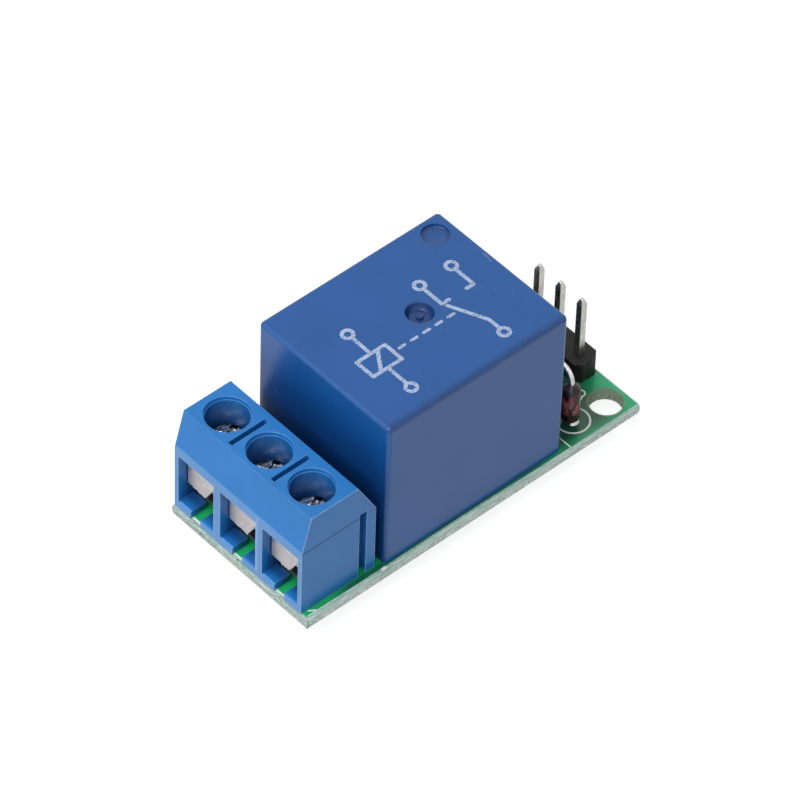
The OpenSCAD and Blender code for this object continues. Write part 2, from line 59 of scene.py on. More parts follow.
def welded(*names):
    """CAD nodes as one welded bmesh, in millimetres."""
    bm = bmesh.new()
    for name in names:
        bm.from_mesh(frame["nodes"][name].data)
    bmesh.ops.scale(bm, vec=(1 / MM,) * 3, verts=bm.verts)
    bmesh.ops.remove_doubles(bm, verts=bm.verts, dist=WELD)
    return bm


def fitted(bm, name, body, finishes, sharp=35):
    """The bmesh as a piece in metres, with its finishes, riding on a body; its broad faces shade flat."""
    bmesh.ops.scale(bm, vec=(MM,) * 3, verts=bm.verts)
    mesh = bpy.data.meshes.new(name)
    bm.to_mesh(mesh)
    bm.free()
    mesh.shade_smooth()
    mesh.set_sharp_from_angle(angle=math.radians(sharp))
    for finish in finishes:
        mesh.materials.append(finish)
    piece = bpy.data.objects.new(name, mesh)
    bpy.context.scene.collection.objects.link(piece)
    level = piece.modifiers.new("level", "WEIGHTED_NORMAL")
    level.weight = 100
    level.keep_sharp = True
    graph = bpy.context.evaluated_depsgraph_get()
    settled = bpy.data.meshes.new_from_object(piece.evaluated_get(graph))
    piece.modifiers.clear()
    piece.data = settled
    bpy.data.meshes.remove(mesh)
    settled.name = name
    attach(piece, body)
    return piece


def sliced(bm, axis, places):
    """Cuts new edges through the bmesh at these places along an axis."""
    side = Vector((axis == 0, axis == 1, axis == 2))
    for place in places:
        bmesh.ops.bisect_plane(bm, geom=bm.verts[:] + bm.edges[:] + bm.faces[:],
                               plane_co=side * place, plane_no=side)


def spaced(low, high, step):
    """Places between two limits, one step apart."""
    return [low + step * count for count in range(1, math.ceil((high - low) / step - 0.5))]


def add(tree, kind, inputs=None, **options):
    """Adds a node to a tree, sets its options, then links or fills its inputs."""
    made = tree.nodes.new("ShaderNode" + kind)
    for key, value in options.items():
        setattr(made, key, value)
    for key, value in (inputs or {}).items():
        if isinstance(value, bpy.types.NodeSocket):
            tree.links.new(value, made.inputs[key])
        else:
            made.inputs[key].default_value = value
    return made


def maths(tree, operation, *values):
    """The result of a sum on values and sockets."""
    return add(tree, "Math", dict(enumerate(values)), operation=operation).outputs[0]


def between(tree, value, low, high):
    """A value as a mask: 0 at the low level, 1 at the high one."""
    return add(tree, "MapRange", {"Value": value, "From Min": low, "From Max": high}).outputs[0]


def between_mm(tree, value, low, high):
    """A place along an axis as a mask: 0 at the low limit and 1 at the high one, in millimetres."""
    return between(tree, value, low * MM, high * MM)


def all_of(tree, *masks):
    """1 only where every mask is 1."""
    shared = masks[0]
    for mask in masks[1:]:
        shared = maths(tree, "MULTIPLY", shared, mask)
    return shared


def blended(tree, factor, first, second):
    """Colour that goes from the first to the second."""
    mix = add(tree, "Mix", data_type="RGBA")
    for socket, value in zip((mix.inputs[0], mix.inputs[6], mix.inputs[7]), (factor, first, second)):
        if isinstance(value, bpy.types.NodeSocket):
            tree.links.new(value, socket)
        else:
            socket.default_value = value if isinstance(value, float) else (*value[:3], 1)
    return mix.outputs[2]


def spots(tree, scale, low, high, coords, detail=3.0, stretch=None):
    """Soft noise cut between two levels to a mask from 0 to 1."""
    if stretch:
        coords = add(tree, "Mapping", {"Vector": coords, "Scale": stretch}).outputs[0]
    soft = add(tree, "TexNoise", {"Vector": coords, "Scale": scale, "Detail": detail})
    return between(tree, soft.outputs[0], low, high)


def new_finish(name, **constants):
    """A material with these constants on its own shader: (material, tree, shader, coordinates)."""
    finish = bpy.data.materials.new(name)
    finish.use_nodes = True
    tree = finish.node_tree
    shader = tree.nodes["Principled BSDF"]
    for key, value in constants.items():
        shader.inputs[key.replace("_", " ").replace("Ior", "IOR")].default_value = value
    return finish, tree, shader, add(tree, "TexCoord").outputs["Object"]


def new_effect(name, inputs, outputs):
    """An empty node group with named sockets: (group, its inputs, its output node)."""
    group = bpy.data.node_groups.new(name, "ShaderNodeTree")
    for direction, sockets in (("INPUT", inputs), ("OUTPUT", outputs)):
        for socket, kind in sockets.items():
            group.interface.new_socket(socket, in_out=direction, socket_type="NodeSocket" + kind)
    return group, group.nodes.new("NodeGroupInput").outputs, group.nodes.new("NodeGroupOutput")


def link_all(tree, target, **sources):
    """Links each named source to the target's input of that name."""
    for key, source in sources.items():
        tree.links.new(source, target.inputs[key.replace("_", " ")])


def bumped(tree, height, distance, strength=1.0):
    """A normal that follows a height, given how far the height raises the surface."""
    return add(tree, "Bump", {"Strength": strength, "Distance": distance, "Height": height}).outputs[0]


board_low, board_high = (Vector(c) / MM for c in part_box("board"))
BOARD_TOP = board_high.z
hole = next(mount for mount in frame["record"]["mounts"] if mount["name"] == "mounting_hole")
hole_at = Vector(hole["pos_m"]) / MM
hole_r = hole["dims"]["r_mm"]
MASK_GAP = Vector((0.24, 0.14))
MASK_SKEW = 0.20
BARE_RING = 0.11
# Where the painted shadow of the relay lies on the mask, in millimetres.
RELAY_SHADOW_X = ((8.0, 10.0), (18.2, 14.8))
RELAY_SHADOW_Y = (-9.0, -7.1)
# Where the painted shadow of the terminal block and relay lies along the near edge, in millimetres.
SIDE_SHADOW_X = ((-15.2, -13.2), (11.0, 7.0))
SIDE_SHADOW_Y = (-7.2, -7.5)
TERMINAL_END_X = (-7.0, -10.5)
TOP_SKIN_Z = (2.4, 2.6)


def solder_mask():
    """Glossy green lacquer over faint copper fields, with painted shadows beside the relay and along the
    near edge; it stops short of the hole and of the edges.
    """
    finish, tree, shader, at = new_finish("solder_mask", Roughness=0.32, Coat_Roughness=0.12)
    x, y, z = add(tree, "SeparateXYZ", {"Vector": at}).outputs
    flow = spots(tree, 150.0, 0.35, 0.65, at)
    copper = spots(tree, 240.0, 0.47, 0.50, at, detail=0.0)
    dust = spots(tree, 5200.0, 0.68, 0.76, at)
    green = blended(tree, flow, (0.006, 0.360, 0.116), (0.012, 0.480, 0.180))
    green = blended(tree, copper, green, (0.016, 0.540, 0.220))
    green = blended(tree, dust, green, (0.08, 0.42, 0.22))
    # Painted shadow: the mask goes dark green between the relay and the header, where the relay's shadow
    # falls.
    relay_shadow = all_of(tree, *(between_mm(tree, x, *fade) for fade in RELAY_SHADOW_X),
                        between_mm(tree, y, *RELAY_SHADOW_Y), between_mm(tree, z, *TOP_SKIN_Z), 0.92)
    green = blended(tree, relay_shadow, green, (0.008, 0.046, 0.026))
    terminal_end = all_of(tree, between_mm(tree, x, *TERMINAL_END_X), 0.8)
    green = blended(tree, terminal_end, green, (0.010, 0.390, 0.100))
    # Painted shadow: a darker green strip along the near edge beside the terminal block and the relay.
    side_shadow = all_of(tree, *(between_mm(tree, x, *fade) for fade in SIDE_SHADOW_X),
                        between_mm(tree, y, *SIDE_SHADOW_Y), 0.85)
    green = blended(tree, side_shadow, green, (0.004, 0.085, 0.046))
    flat = add(tree, "CombineXYZ", {0: x, 1: y}).outputs[0]
    centre = (hole_at.x * MM, hole_at.y * MM, 0.0)
    away = add(tree, "VectorMath", {0: flat, 1: centre}, operation="DISTANCE").outputs["Value"]
    ring = hole_r + BARE_RING
    by_hole = between_mm(tree, away, ring + 0.02, ring - 0.02)
    ragged = maths(tree, "MULTIPLY", spots(tree, 2200.0, 0.2, 0.8, at), 0.05 * MM)
    askew = maths(tree, "MULTIPLY", between_mm(tree, x, 12.0, 0.0), MASK_SKEW * MM)
    bare = by_hole
    for axis, value, shift in ((0, x, 0.0), (1, y, askew)):
        limit = board_high[axis] - MASK_GAP[axis]
        reach = maths(tree, "ADD", maths(tree, "ADD", maths(tree, "ABSOLUTE", value), ragged), shift)
        bare = maths(tree, "MAXIMUM", bare, between_mm(tree, reach, limit, limit + 0.03))
    fibre = spots(tree, 3600.0, 0.4, 0.65, at)
    laminate = blended(tree, fibre, (0.27, 0.42, 0.34), (0.46, 0.60, 0.52))
    laminate = blended(tree, by_hole, laminate, (0.20, 0.28, 0.15))
    link_all(tree, shader, Base_Color=blended(tree, bare, green, laminate),
             Coat_Weight=maths(tree, "MULTIPLY_ADD", bare, -0.3, 0.3),
             Roughness=maths(tree, "MULTIPLY_ADD", bare, 0.4, 0.32))
    grain = add(tree, "TexNoise", {"Vector": at, "Scale": 3000.0}).outputs[0]
    link_all(tree, shader, Normal=bumped(tree, maths(tree, "ADD", copper, grain), 0.000006))
    return finish


SCORE_FOOT_Z = (2.49, 2.55)


def torn_fibre(name, scored, torn, streak, shade_strength, shade_low, shade_high):
    """Snapped glass fibre: pale where scored, rough and grey where torn, and darker toward one X as painted
    shade.
    """
    finish, tree, shader, at = new_finish(name, Roughness=0.75)
    along, _, height = add(tree, "SeparateXYZ", {"Vector": at}).outputs
    wander = maths(tree, "MULTIPLY_ADD", spots(tree, 800.0, 0.3, 0.7, at), 0.1 * MM, height)
    above = between_mm(tree, wander, *SCORE_FOOT_Z)
    strands = spots(tree, 6500.0, 0.40, 0.75, at, stretch=(0.10, 0.10, 1))
    fleck = spots(tree, 5200.0, 0.42, 0.60, at)
    pits = spots(tree, 3900.0, 0.62, 0.72, at)
    chips = spots(tree, 700.0, 0.69, 0.73, at)
    upper = blended(tree, strands, scored, streak)
    lower = blended(tree, fleck, torn, tuple(1.6 * c for c in torn))
    lower = blended(tree, pits, lower, tuple(0.5 * c for c in torn))
    edge = blended(tree, chips, blended(tree, above, lower, upper), (0.12, 0.38, 0.24))
    # Painted shade: the fibre goes dark toward the low X limit.
    painted_shade_mask = all_of(tree, between_mm(tree, along, shade_high, shade_low), shade_strength)
    link_all(tree, shader, Base_Color=blended(tree, painted_shade_mask, edge, (0.03, 0.06, 0.05)))
    link_all(tree, shader, Normal=bumped(tree, maths(tree, "ADD", fleck, strands), 0.00003, 0.8))
    return finish


board = welded("board")
BOARD_STEP, TEAR = 0.3, 0.06
TEAR_LEVELS = (2.0, 2.2, 2.4, 2.6, 2.8, 2.94)
for axis in (0, 1):
    sliced(board, axis, spaced(board_low[axis], board_high[axis], BOARD_STEP))
sliced(board, 2, TEAR_LEVELS)
noise.seed_set(7)
for vert in board.verts:
    beyond = max(abs(vert.co.x) - board_high.x, abs(vert.co.y) - board_high.y)
    if beyond > -0.05:
        shift = noise.noise_vector(vert.co * 2.3) * TEAR + noise.noise_vector(vert.co * 7) * TEAR * 0.7
        inward = shift - vert.co.normalized() * TEAR
        vert.co += Vector((inward.x, inward.y, shift.z * 0.5))
for face in board.faces:
    in_hole = (face.calc_center_median().xy - hole_at.xy).length < hole_r + 0.01
    face.material_index = 0 if abs(face.normal.z) > 0.99 else 2 if in_hole else 1
# Painted shade darkens the torn edge at the board's -X end.
fibre = torn_fibre("torn_fibre", (0.40, 0.59, 0.52), (0.50, 0.56, 0.53), (0.80, 0.92, 0.86),
                   0.38, board_low.x + 0.15, board_low.x + 0.35)
# Painted shade darkens the hole's wall toward its -X side.
drilled = torn_fibre("drilled_fibre", (0.34, 0.44, 0.31), (0.27, 0.33, 0.25), (0.40, 0.50, 0.37),
                     0.62, hole_at.x - hole_r, hole_at.x + 0.6)
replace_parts(fitted(board, "board_laminate", "module", (solder_mask(), fibre, drilled), sharp=30), "board")

# ---- Loose strands ----
# Strands of glass that the snap left along the board's edges, most of them at the terminal end.
# Each is a thin taper that lies along its edge.

STRANDS = 110
draw = random.Random(7)
strands = bmesh.new()
for count in range(STRANDS):
    axis = 1 if count % 3 else 0
    length, thick = draw.uniform(0.3, 1.4), draw.uniform(0.015, 0.035)
    along = draw.uniform(length - board_high[axis], board_high[axis] - length) * 0.98
    across = -board_high[1 - axis] + draw.uniform(-0.01, 0.05)
    if axis:
        place = (across, along, draw.uniform(2.55, 2.99))
    else:
        place = (along, across, draw.uniform(2.3, 2.98))
    yaw = Matrix.Rotation(draw.uniform(-0.06, 0.06), 4, "Z")
    pitch = Matrix.Rotation(draw.uniform(-0.05, 0.05), 4, "Y")
    lie = Matrix.Rotation(math.radians(90), 4, "X" if axis else "Y")
    bmesh.ops.create_cone(strands, cap_ends=True, segments=5, radius1=thick, radius2=thick / 4,
                          depth=length, matrix=Matrix.Translation(place) @ yaw @ pitch @ lie)
glass, tree, shader, at = new_finish("glass_strand", Roughness=0.5)
haze = spots(tree, 2500.0, 0.35, 0.65, at, stretch=(0.3, 0.3, 1))
link_all(tree, shader, Base_Color=blended(tree, haze, (0.78, 0.86, 0.80), (0.50, 0.68, 0.58)))
fitted(strands, "edge_strands", "module", (glass,))

# ---- Printed legend ----
# Thin, slightly broken white ink on the mask: a ring with a loop round the diode,
# a frame round the relay, and the front line of the terminal block, seen through its slots.

INK = 0.015
TIP_STEP = 0.001
STROKE_STEP = 0.0003


def inked_line(bm, start, end, width, z):
    """A printed stroke between two points, with round ends."""
    start, end = Vector((*start, z)), Vector((*end, z))
    run = end - start
    turn = Matrix.Translation((start + end) / 2) @ Matrix.Rotation(math.atan2(run.y, run.x), 4, "Z")
    bmesh.ops.create_cube(bm, size=1, matrix=turn @ Matrix.Diagonal((run.length, width, INK, 1)))
    for tip, step in ((start, -TIP_STEP), (end, TIP_STEP)):
        bmesh.ops.create_cone(bm, cap_ends=True, segments=16, radius1=width / 2, radius2=width / 2,
                              depth=INK, matrix=Matrix.Translation(tip + Vector((0, 0, step))))


def inked_ring(bm, centre, radius, width, z, segments=64):
    """A printed ring, as a flat band with a little thickness."""
    rims = []
    for r in (radius + width / 2, radius - width / 2):
        rim = bmesh.ops.create_circle(bm, segments=segments, radius=r,
                                      matrix=Matrix.Translation((*centre, z - INK / 2)))
        rims += list(dict.fromkeys(edge for vert in rim["verts"] for edge in vert.link_edges))
    band = bmesh.ops.bridge_loops(bm, edges=rims)["faces"]
    raised = bmesh.ops.extrude_face_region(bm, geom=band)["geom"]
    tops = [made for made in raised if isinstance(made, bmesh.types.BMVert)]
    bmesh.ops.translate(bm, vec=(0, 0, INK), verts=tops)


def inked_path(bm, points, width, z):
    """Printed strokes from point to point, each a hair higher than the last so that none coincide."""
    for count, pair in enumerate(zip(points, points[1:])):
        inked_line(bm, *pair, width, z + STROKE_STEP * (count % 8))


def printed_ink(name, colour, ground, break_up):
    """Ink with pinholes through which the ground shows."""
    finish, tree, shader, at = new_finish(name, Roughness=0.55)
    holes = spots(tree, 9000.0, break_up, break_up + 0.08, at)
    wash = spots(tree, 1200.0, 0.35, 0.7, at)
    ink = blended(tree, wash, colour, tuple(0.86 * c for c in colour))
    link_all(tree, shader, Base_Color=blended(tree, holes, ink, ground))
    link_all(tree, shader, Normal=bumped(tree, holes, 0.000004, 0.4))
    return finish


def upright(node):
    """Centre in plan, radius, foot and head of a round CAD node that stands on end."""
    low, high = (Vector(c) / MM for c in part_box(node))
    return (low + high).xy / 2, (high.x - low.x) / 2, low.z, high.z


legend = bmesh.new()
ink_z = BOARD_TOP + INK / 2
diode_at, diode_r, diode_foot, diode_head = upright("diode_glass")
relay_low, relay_high = (Vector(c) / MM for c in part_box("relay_case"))
block_low, block_high = (Vector(c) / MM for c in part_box("terminal_housing"))
poles = [upright(f"clamp_screw_{pole}")[0] for pole in (1, 2, 3)]

RING_AT, RING_R, RING_W = diode_at + Vector((0.29, -0.08)), 1.44, 0.17
LOOP_AT, LOOP_R, LOOP_W = RING_AT + Vector((2.56, 1.76)), 0.34, 0.15
inked_ring(legend, RING_AT, RING_R, RING_W, ink_z)
loop = [LOOP_AT + Matrix.Rotation(math.radians(turn), 2) @ Vector((LOOP_R, 0))
        for turn in range(85, -125, -15)]
loop += [RING_AT + Vector((1.72, 1.12)), RING_AT + Vector((1.30, 0.62))]
inked_path(legend, loop, LOOP_W, ink_z)

FRAME_GAP, FRAME_W, BAR_W = 0.8, 0.12, 0.32
frame_x = relay_high.x + FRAME_GAP
frame_y = board_high.y - 0.2
inked_line(legend, (relay_low.x - 0.45, -frame_y), (relay_low.x - 0.15, -frame_y), BAR_W, ink_z)
inked_line(legend, (frame_x, -frame_y), (frame_x, frame_y), FRAME_W, ink_z + 2 * TIP_STEP)

EDGE_LINE_W, CORNER_W = 0.06, 0.15
edge_start = (board_low.x + 0.42, board_low.y + 0.36)
edge_end = (block_high.x - 1.3, board_low.y + 0.27)
inked_line(legend, edge_start, edge_end, EDGE_LINE_W, ink_z)
inked_line(legend, (-17.30, -7.50), (-16.85, -7.80), CORNER_W, ink_z)

SLOT_SHIFT, SLOT_HALF, SLOT_W = 0.05, 0.5, 0.18
slot_x = block_low.x + 0.26
for pole in poles:
    slot_y = pole.y + SLOT_SHIFT
    inked_line(legend, (slot_x, slot_y - SLOT_HALF), (slot_x, slot_y + SLOT_HALF), SLOT_W, ink_z)
white = printed_ink("white_ink", (0.86, 0.92, 0.88), (0.05, 0.34, 0.18), 0.62)
fitted(legend, "board_legend", "module", (white,))

# ---- Solder joints ----
# Bright cones of solder, wave soldered, that wick up each tail under the board.
# The CAD cones keep their shape and get the finish alone.


def bright_metal():
    """Effect for plated metal: cloudy plating, fine scratches along the part and dull spots."""
    group, given, out = new_effect(
        "plated metal",
        {"Colour": "Color", "Dull Colour": "Color", "Cloud Scale": "Float", "Scratch Scale": "Float",
         "Roughness": "Float", "Depth": "Float"},
        {"Colour": "Color", "Roughness": "Float", "Normal": "Vector"})
    at = add(group, "TexCoord").outputs["Object"]
    cloud = add(group, "TexNoise", {"Vector": at, "Scale": given["Cloud Scale"], "Detail": 4.0}).outputs[0]
    cloud = between(group, cloud, 0.4, 0.65)
    along = add(group, "Mapping", {"Vector": at, "Scale": (1, 1, 0.12)}).outputs[0]
    scratch = add(group, "TexNoise", {"Vector": along, "Scale": given["Scratch Scale"], "Detail": 2.0})
    link_all(group, out, Colour=blended(group, cloud, given["Colour"], given["Dull Colour"]),
             Roughness=maths(group, "MULTIPLY_ADD", cloud, 0.16, given["Roughness"]),
             Normal=bumped(group, scratch.outputs[0], given["Depth"], 0.6))
    return group


def effect_finish(name, group, values, **constants):
    """A finish whose surface is an effect; each value may be a function of the place."""
    finish, tree, shader, at = new_finish(name, **constants)
    effect = add(tree, "Group", node_tree=group)
    for key, value in values.items():
        if callable(value):
            tree.links.new(value(tree, at), effect.inputs[key])
        else:
            effect.inputs[key].default_value = (*value, 1) if isinstance(value, tuple) else value
    link_all(tree, shader, Base_Color=effect.outputs["Colour"], Roughness=effect.outputs["Roughness"],
             Normal=effect.outputs["Normal"])
    return finish


plated = bright_metal()


def plated_finish(name, colour, dull, roughness, clouds=900.0, scratches=9000.0, depth=0.000004):
    """A metal finish that takes its surface from the plated metal effect."""
    values = {"Colour": colour, "Dull Colour": dull, "Cloud Scale": clouds, "Scratch Scale": scratches,
              "Roughness": roughness, "Depth": depth}
    return effect_finish(name, plated, values, Metallic=1.0)


def dress(finish, *names):
    """Gives CAD nodes that keep their shape this finish."""
    for name in names:
        for slot in frame["nodes"][name].material_slots:
            slot.link = "OBJECT"
            slot.material = finish


solder = plated_finish("solder", (0.74, 0.74, 0.72), (0.56, 0.56, 0.55), 0.22, clouds=1600.0,
                       depth=0.00001)
dress(solder, "solder_joints")

# ---- Terminal block housing ----
# One moulding of bright blue polyamide with three poles: a sloped front over the wire entries,
# round wells down to the screws, and a groove at its end for joining on another block.


def moulded_plastic():
    """Effect for moulded plastic: fine spark grain, slow colour drift and paler worn edges."""
    group, given, out = new_effect(
        "moulded plastic",
        {"Colour": "Color", "Worn Colour": "Color", "Grain Scale": "Float", "Depth": "Float",
         "Roughness": "Float", "Edge Width": "Float", "Wear": "Float"},
        {"Colour": "Color", "Roughness": "Float", "Normal": "Vector"})
    at = add(group, "TexCoord").outputs["Object"]
    drift = add(group, "TexNoise", {"Vector": at, "Scale": 220.0, "Detail": 2.0}).outputs[0]
    drift = maths(group, "MULTIPLY_ADD", drift, 0.24, 0.88)
    colour = add(group, "VectorMath", {0: given["Colour"], "Scale": drift}, operation="SCALE").outputs[0]
    rounded = add(group, "Bevel", {"Radius": given["Edge Width"]}, samples=6).outputs[0]
    facing = add(group, "NewGeometry").outputs["Normal"]
    same = add(group, "VectorMath", {0: rounded, 1: facing}, operation="DOT_PRODUCT").outputs["Value"]
    ragged = spots(group, 1500.0, 0.25, 0.7, at)
    worn = maths(group, "MULTIPLY", between(group, same, 0.99, 0.90), given["Wear"])
    worn = maths(group, "MULTIPLY", worn, maths(group, "MULTIPLY_ADD", ragged, 0.7, 0.3))
    grain = add(group, "TexNoise", {"Vector": at, "Scale": given["Grain Scale"], "Detail": 2.0}).outputs[0]
    link_all(group, out, Colour=blended(group, worn, colour, given["Worn Colour"]),
             Roughness=maths(group, "MULTIPLY_ADD", grain, 0.02, given["Roughness"]),
             Normal=bumped(group, grain, given["Depth"], 0.7))
    return group


moulded = moulded_plastic()


def moulded_finish(name, colour, worn, roughness, grain=7000.0, depth=0.000003, edge=0.00012, wear=0.6,
                   **constants):
    """A plastic finish that takes its surface from the moulded plastic effect."""
    values = {"Colour": colour, "Worn Colour": worn, "Grain Scale": grain, "Depth": depth,
              "Roughness": roughness, "Edge Width": edge, "Wear": wear}
    return effect_finish(name, moulded, values, **constants)


def rounded(bm, edges, width, segments):
    """Gives these edges a small radius."""
    bmesh.ops.bevel(bm, geom=edges, offset=width, offset_type="OFFSET", segments=segments, profile=0.5,
                    affect="EDGES", material=-1, clamp_overlap=True)


def rounded_edges(bm, width, turn=25, segments=2, chosen=lambda edge: True):
    """Gives a small radius to every chosen edge that turns more than the angle."""
    bmesh.ops.dissolve_limit(bm, angle_limit=math.radians(1), verts=bm.verts, edges=bm.edges)
    rounded(bm, [edge for edge in bm.edges if edge.is_manifold and chosen(edge)
                 and edge.calc_face_angle(0) > math.radians(turn)], width, segments)


def boxed(low, high):
    """A matrix that turns a unit cube into the box between two corners."""
    low, high = Vector(low), Vector(high)
    return Matrix.Translation((low + high) / 2) @ Matrix.Diagonal((*(high - low), 1))


SOFT_EDGE = 0.05
MOULD_LINE_Z = BOARD_TOP + 6.93
MOULD_LINE = 0.03
JOIN_LINE_R, JOIN_LINE_L, JOIN_LINE_Z = 0.035, 6.3, BOARD_TOP + 3.65
join_y = (poles[0].y + poles[1].y) / 2 + 0.24
block_y = poles[0].y - 2.5
housing = welded("terminal_housing")
crease = min(v.co.x for v in housing.verts if v.co.z > block_high.z - 0.01)
brow = max(v.co.z for v in housing.verts if v.co.x < block_low.x + 0.01)


def soft_edge(edge):
    """True unless the edge is a well's rim or the crease over the slope, which stay crisp."""
    on_top = min(v.co.z for v in edge.verts) > block_high.z - 0.01
    on_rim = max(abs(v.co.y - poles[1].y) for v in edge.verts) > 7.6 and edge.calc_length() < 9
    return not on_top or on_rim


rounded_edges(housing, SOFT_EDGE, chosen=soft_edge)
bmesh.ops.create_cube(housing, size=1, matrix=boxed(
    (block_low.x + MOULD_LINE, block_y - 0.08 - MOULD_LINE, MOULD_LINE_Z - MOULD_LINE),
    (block_low.x + 5.9, block_y, MOULD_LINE_Z + MOULD_LINE)))
for side in (-0.06, 0.06):
    place = (block_low.x + 0.005, join_y + side, JOIN_LINE_Z)
    bmesh.ops.create_cone(housing, cap_ends=True, segments=12, radius1=JOIN_LINE_R, radius2=JOIN_LINE_R,
                          depth=JOIN_LINE_L, matrix=Matrix.Translation(place))

SKIN = 0.08


def near_plane(tree, value, place):
    """1 on the surface that lies at this place along an axis, and just behind it."""
    return between_mm(tree, value, place + SKIN, place + SKIN / 2)


def on_mould_line(tree, at):
    """1 on the fine line that the mould's parting leaves across the near end."""
    _, y, z = add(tree, "SeparateXYZ", {"Vector": at}).outputs
    off = maths(tree, "ABSOLUTE", maths(tree, "SUBTRACT", z, MOULD_LINE_Z * MM))
    return all_of(tree, between_mm(tree, off, 0.09, 0.04), near_plane(tree, y, block_y))


# Pale blue for the worn edges, also laid over the front faces as painted light.
SCUFFED_AND_LIT = (0.42, 0.66, 0.95)


def deep_blue(tree, at):
    """Block colour: paler on the front faces as painted light, and darker inside its wells, slots and
    entries as painted shade.
    """
    x, y, z = add(tree, "SeparateXYZ", {"Vector": at}).outputs
    rise, run = block_high.z - brow, crease - block_low.x
    slant = math.hypot(rise, run)
    depth = maths(tree, "MULTIPLY_ADD", z, -run / slant, (brow * run - block_low.x * rise) * MM / slant)
    depth = maths(tree, "MULTIPLY_ADD", x, rise / slant, depth)
    for value, side, face in ((x, 1.3, block_low.x), (z, -0.6, block_high.z), (y, 1.0, block_y)):
        depth = maths(tree, "MINIMUM", depth, maths(tree, "MULTIPLY_ADD", value, side, -side * face * MM))
    # Painted shade: the colour darkens with depth into the wells, slots, entries and end groove.
    blue = blended(tree, between_mm(tree, depth, 0.15, 1.5), (0.011, 0.180, 0.526), (0.009, 0.072, 0.240))
    blue = blended(tree, on_mould_line(tree, at), blue, (0.030, 0.110, 0.300))
    # Painted light: the front faces are tinted toward the pale edge colour.
    return blended(tree, all_of(tree, near_plane(tree, x, block_low.x), 0.20), blue, SCUFFED_AND_LIT)


def block_wear(tree, at):
    """The front and the near end have the sharp, pale edges; the others are soft."""
    x, y, _ = add(tree, "SeparateXYZ", {"Vector": at}).outputs
    near = maths(tree, "MAXIMUM", near_plane(tree, x, block_low.x), near_plane(tree, y, block_y))
    wear = maths(tree, "MULTIPLY_ADD", near, 0.90, 0.20)
    return all_of(tree, wear, maths(tree, "SUBTRACT", 1.0, on_mould_line(tree, at)))


block_blue = moulded_finish("block_plastic", deep_blue, SCUFFED_AND_LIT, 0.32, depth=0.0000006, edge=0.0001,
                            wear=block_wear)
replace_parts(fitted(housing, "terminal_block", "module", (block_blue,), sharp=20), "terminal_housing")

# ---- Contact frames ----
# Tinned strip bent to a channel inside each pole and threaded for its screw.
# Only its front edge shows; it keeps its CAD shape, and its tin is coloured darker than bare tin as painted
# shade in the pockets.

# Painted shade: the tin is coloured much darker than bare tin, as it lies in the dark pockets.
tin = plated_finish("tinned_strip", (0.50, 0.48, 0.46), (0.20, 0.18, 0.17), 0.30)
dress(tin, *(f"contact_frame_{pole}" for pole in (1, 2, 3)))

# ---- Wire leaves ----
# Bright stamped strip that the screw pushes down onto the wire.
# The punch leaves a small burr along its lower front edge.

BURR = 0.22
leaf_steel = plated_finish("leaf_steel", (0.70, 0.665, 0.66), (0.62, 0.58, 0.58), 0.45, clouds=1500.0)
for pole in (1, 2, 3):
    leaf = welded(f"wire_leaf_{pole}")
    leaf_low, leaf_high = (Vector(c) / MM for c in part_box(f"wire_leaf_{pole}"))
    sliced(leaf, 1, spaced(leaf_low.y, leaf_high.y, 0.15))
    sliced(leaf, 2, spaced(leaf_low.z, leaf_high.z, 0.3))
    for vert in leaf.verts:
        low_edge = vert.co.z < leaf_low.z + 0.25 and vert.co.x < leaf_low.x + 0.8
        if low_edge and abs(vert.co.y - poles[pole - 1].y) < 1.6:
            vert.co.z += noise.noise(vert.co * 6.0) * BURR
    piece = fitted(leaf, f"clamp_leaf_{pole}", f"leaf_{pole}", (leaf_steel,), sharp=30)
    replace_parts(piece, f"wire_leaf_{pole}")

# ---- Clamp screws ----
# Zinc plated steel with a cross slot, at the foot of each well.
# The head is rough from cold forming and plating.

screw_steel = plated_finish("screw_steel", (0.80, 0.79, 0.78), (0.10, 0.10, 0.11), 0.12, clouds=3200.0,
                            scratches=4200.0, depth=0.00005)
ROUGH_HEAD = 0.05
for pole in (1, 2, 3):
    screw = welded(f"clamp_screw_{pole}")
    rounded_edges(screw, 0.06, turn=30)
    centre, head_r, _, head_top = upright(f"clamp_screw_{pole}")
    for axis in (0, 1):
        sliced(screw, axis, spaced(centre[axis] - head_r, centre[axis] + head_r, 0.14))
    for vert in screw.verts:
        inside = (vert.co.xy - centre).length < head_r - 0.1
        if inside and vert.co.z > head_top - 1.2:
            vert.co.z += noise.noise(vert.co * 5.0) * ROUGH_HEAD - ROUGH_HEAD
    piece = fitted(screw, f"terminal_screw_{pole}", f"screw_{pole}", (screw_steel,), sharp=20)
    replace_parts(piece, f"clamp_screw_{pole}")

# ---- Relay case ----
# Deep blue moulded cap over the sealed relay: smooth sides, rounded corners,
# an ejector mark near one corner of its roof and a gate sink with a torn nib in the middle.


def carved(bm, cutter):
    """The bmesh with the cutter taken out of it."""
    objects = []
    for shape in (bm, cutter):
        mesh = bpy.data.meshes.new("carving")
        shape.to_mesh(mesh)
        shape.free()
        objects.append(bpy.data.objects.new("carving", mesh))
        bpy.context.scene.collection.objects.link(objects[-1])
    cut = objects[0].modifiers.new("cut", "BOOLEAN")
    cut.object = objects[1]
    cut.operation = "DIFFERENCE"
    cut.solver = "EXACT"
    done = bmesh.new()
    done.from_object(objects[0], bpy.context.evaluated_depsgraph_get())
    for made in objects:
        mesh = made.data
        bpy.data.objects.remove(made)
        bpy.data.meshes.remove(mesh)
    return done


